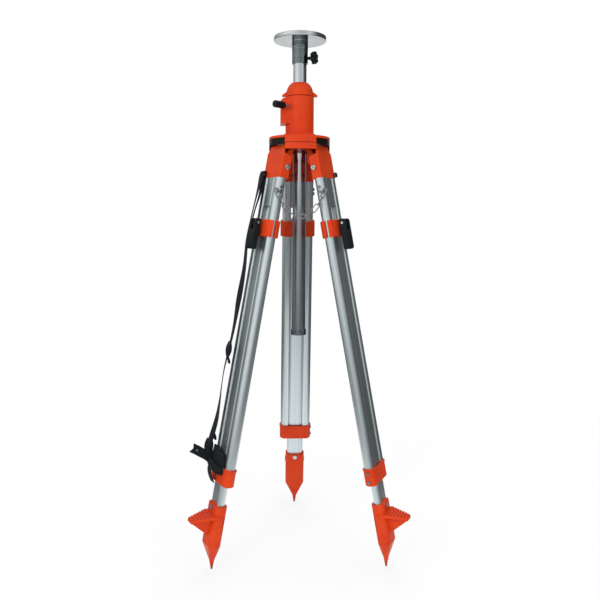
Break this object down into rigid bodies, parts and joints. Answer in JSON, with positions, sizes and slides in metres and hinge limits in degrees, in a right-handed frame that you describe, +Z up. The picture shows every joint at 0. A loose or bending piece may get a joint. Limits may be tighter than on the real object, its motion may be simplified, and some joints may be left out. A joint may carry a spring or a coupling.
{
  "type": "elevating tripod",
  "caption": "Elevating surveying tripod with a crank-raised chromed column, round instrument head, orange castings and sliding aluminium legs with lever clamps and spiked feet.",
  "frame": {"origin": "The point on the ground under the column's axis, midway between the three spike tips.", "axes": "+Z is up along the column. +Y points from the column's axis to the rear leg. +X points to the side of the right front leg."},
  "size_m": [0.5076, 0.4396, 1.2645],
  "materials": {
    "orange_casting": "glossy orange powder coat over die-cast aluminium",
    "leg_aluminium": "extruded, satin anodised",
    "chromed_steel": "polished chrome plate",
    "turned_aluminium": "turned and polished",
    "bright_zinc_steel": "bright zinc plate",
    "gear_steel": "machined and oiled",
    "bearing_bronze": "machined bearing bronze",
    "white_nylon": "turned nylon",
    "black_plastic": "moulded, fine texture",
    "black_webbing": "woven nylon webbing"
  },
  "bodies": {
    "head": {"housing": "orange_casting", "leg_yoke": "orange_casting", "head_screws": "bright_zinc_steel", "column_bushes": "bearing_bronze", "gear_cover": "orange_casting", "clamp_collet": "white_nylon", "chain_left_half": "bright_zinc_steel", "chain_right_half": "bright_zinc_steel"},
    "column": {"column_tube": "chromed_steel", "column_rack": "gear_steel", "column_end_ring": "chromed_steel"},
    "instrument_head": {"head_plate": "turned_aluminium", "plate_sleeve": "turned_aluminium", "instrument_stud": "chromed_steel"},
    "star_knob": {"star_knob": "black_plastic"},
    "clamp_nut": {"clamp_nut": "orange_casting"},
    "lock_screw": {"lock_spindle": "chromed_steel", "lock_knob": "black_plastic"},
    "crank": {"pinion_shaft": "gear_steel", "crank_arm": "gear_steel"},
    "crank_grip": {"crank_grip": "black_plastic"},
    "rear_upper_leg": {"rear_leg_rails": "leg_aluminium", "rear_leg_cap": "orange_casting", "rear_rail_spacer": "leg_aluminium", "rear_leg_screws": "bright_zinc_steel", "rear_pivot_bolt": "bright_zinc_steel", "rear_lower_collar": "orange_casting"},
    "rear_lower_leg": {"rear_lower_tube": "leg_aluminium", "rear_outer_jaw": "orange_casting", "rear_inner_jaw": "orange_casting", "rear_lower_pins": "bright_zinc_steel", "rear_foot": "orange_casting"},
    "rear_lever": {"rear_clamp_lever": "black_plastic"},
    "left_upper_leg": {"left_leg_rails": "leg_aluminium", "left_leg_cap": "orange_casting", "left_rail_spacer": "leg_aluminium", "left_leg_screws": "bright_zinc_steel", "left_pivot_bolt": "bright_zinc_steel", "left_lower_collar": "orange_casting", "carrying_strap": "black_webbing", "strap_buckles": "black_plastic", "tie_strap": "black_webbing"},
    "left_lower_leg": {"left_lower_tube": "leg_aluminium", "left_outer_jaw": "orange_casting", "left_inner_jaw": "orange_casting", "left_lower_pins": "bright_zinc_steel", "left_foot": "orange_casting"},
    "left_lever": {"left_clamp_lever": "black_plastic"},
    "right_upper_leg": {"right_leg_rails": "leg_aluminium", "right_leg_cap": "orange_casting", "right_rail_spacer": "leg_aluminium", "right_leg_screws": "bright_zinc_steel", "right_pivot_bolt": "bright_zinc_steel", "right_lower_collar": "orange_casting"},
    "right_lower_leg": {"right_lower_tube": "leg_aluminium", "right_outer_jaw": "orange_casting", "right_inner_jaw": "orange_casting", "right_lower_pins": "bright_zinc_steel", "right_foot": "orange_casting"},
    "right_lever": {"right_clamp_lever": "black_plastic"}
  },
  "joints": [
    {"name": "column_lift", "type": "slide", "parent": "head", "child": "column", "axis": [0, 0, 1], "range_m": [-0.045, 0.43]},
    {"name": "head_swivel", "type": "hinge", "parent": "column", "child": "instrument_head", "pos_m": [0, 0, 1.2], "axis": [0, 0, 1], "continuous": true},
    {"name": "star_knob_turn", "type": "hinge", "parent": "instrument_head", "child": "star_knob", "pos_m": [0.02991, -0.01395, 1.1965], "axis": [0.9063, -0.4226, 0], "range_deg": [0, 360]},
    {"name": "clamp_nut_turn", "type": "hinge", "parent": "head", "child": "clamp_nut", "pos_m": [0, 0, 1.115], "axis": [0, 0, 1], "range_deg": [0, 90]},
    {"name": "lock_screw_turn", "type": "hinge", "parent": "head", "child": "lock_screw", "pos_m": [-0.03536, -0.03536, 1.075], "axis": [-0.7071, -0.7071, 0], "range_deg": [0, 360]},
    {"name": "crank_turn", "type": "hinge", "parent": "head", "child": "crank", "pos_m": [-0.02625, 0, 1.055], "axis": [0, -1, 0], "range_deg": [-220, 2060]},
    {"name": "crank_grip_spin", "type": "hinge", "parent": "crank", "child": "crank_grip", "pos_m": [-0.02625, 0.06, 1.097], "axis": [0, 1, 0], "continuous": true},
    {"name": "rear_leg_spread", "type": "hinge", "parent": "head", "child": "rear_upper_leg", "pos_m": [0, 0.059, 0.924], "axis": [1, 0, 0], "range_deg": [-10.2, 16]},
    {"name": "rear_leg_slide", "type": "slide", "parent": "rear_upper_leg", "child": "rear_lower_leg", "axis": [0, 0.1908, -0.9816], "range_m": [-0.028, 0.49]},
    {"name": "rear_lever_open", "type": "hinge", "parent": "rear_lower_leg", "child": "rear_lever", "pos_m": [0, 0.12222, 0.79265], "axis": [1, 0, 0], "range_deg": [0, 100]},
    {"name": "left_leg_spread", "type": "hinge", "parent": "head", "child": "left_upper_leg", "pos_m": [-0.0511, -0.0295, 0.924], "axis": [-0.5, 0.866, 0], "range_deg": [-10.2, 16], "deforming": ["chain_left_half"]},
    {"name": "left_leg_slide", "type": "slide", "parent": "left_upper_leg", "child": "left_lower_leg", "axis": [-0.1652, -0.0954, -0.9816], "range_m": [-0.028, 0.49]},
    {"name": "left_lever_open", "type": "hinge", "parent": "left_lower_leg", "child": "left_lever", "pos_m": [-0.10585, -0.06111, 0.79265], "axis": [-0.5, 0.866, 0], "range_deg": [0, 100]},
    {"name": "right_leg_spread", "type": "hinge", "parent": "head", "child": "right_upper_leg", "pos_m": [0.0511, -0.0295, 0.924], "axis": [-0.5, -0.866, 0], "range_deg": [-10.2, 16], "deforming": ["chain_right_half"]},
    {"name": "right_leg_slide", "type": "slide", "parent": "right_upper_leg", "child": "right_lower_leg", "axis": [0.1652, -0.0954, -0.9816], "range_m": [-0.028, 0.49]},
    {"name": "right_lever_open", "type": "hinge", "parent": "right_lower_leg", "child": "right_lever", "pos_m": [0.10585, -0.06111, 0.79265], "axis": [-0.5, -0.866, 0], "range_deg": [0, 100]}
  ],
  "couplings": [
    {"joint": "crank_turn", "follows": "column_lift", "rad_per_m": 83.333}
  ]
}
